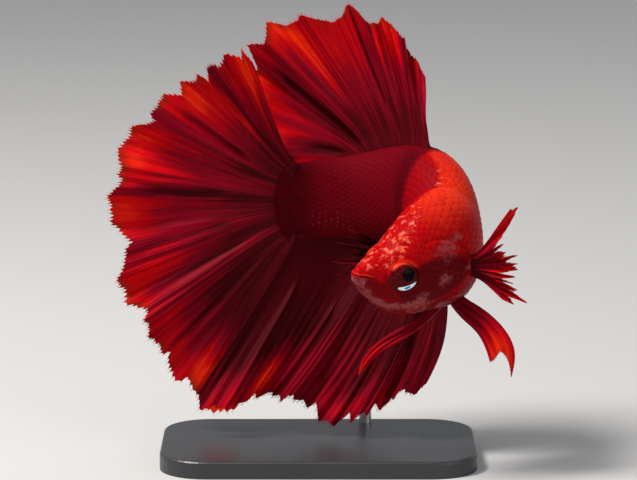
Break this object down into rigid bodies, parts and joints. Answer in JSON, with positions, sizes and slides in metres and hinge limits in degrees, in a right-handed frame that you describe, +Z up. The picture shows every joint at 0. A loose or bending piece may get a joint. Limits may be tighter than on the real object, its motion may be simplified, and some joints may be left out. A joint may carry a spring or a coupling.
{
  "type": "betta fish model",
  "caption": "Life-size halfmoon fighting fish turning back on itself, with spread pleated fins, held above a rounded plate by one bent rod.",
  "frame": {"origin": "middle of the stand plate's underside, on the floor", "axes": "+X towards the outside of the fish's turn, +Y away from the side its head shows, +Z up"},
  "size_m": [0.0531, 0.0304, 0.058],
  "materials": {
    "skin": "wet-looking red skin with small scales",
    "fin": "thin red membrane with fine rays",
    "eye": "glossy dark eye with a pale crescent",
    "base": "satin black coat on steel",
    "rod": "brushed steel"
  },
  "bodies": {
    "root": {"head": "skin", "lower_jaw": "skin", "gill_cover_left": "skin", "gill_cover_right": "skin", "trunk_front": "skin", "trunk_rear": "skin", "tail_stem": "skin", "eye_left": "eye", "eye_right": "eye", "dorsal_fin": "fin", "anal_fin": "fin", "caudal_fin": "fin", "pectoral_fin_left": "fin", "pectoral_fin_right": "fin", "pelvic_fin_left": "fin", "pelvic_fin_right": "fin", "stand_rod": "rod", "stand_base": "base"}
  },
  "joints": []
}
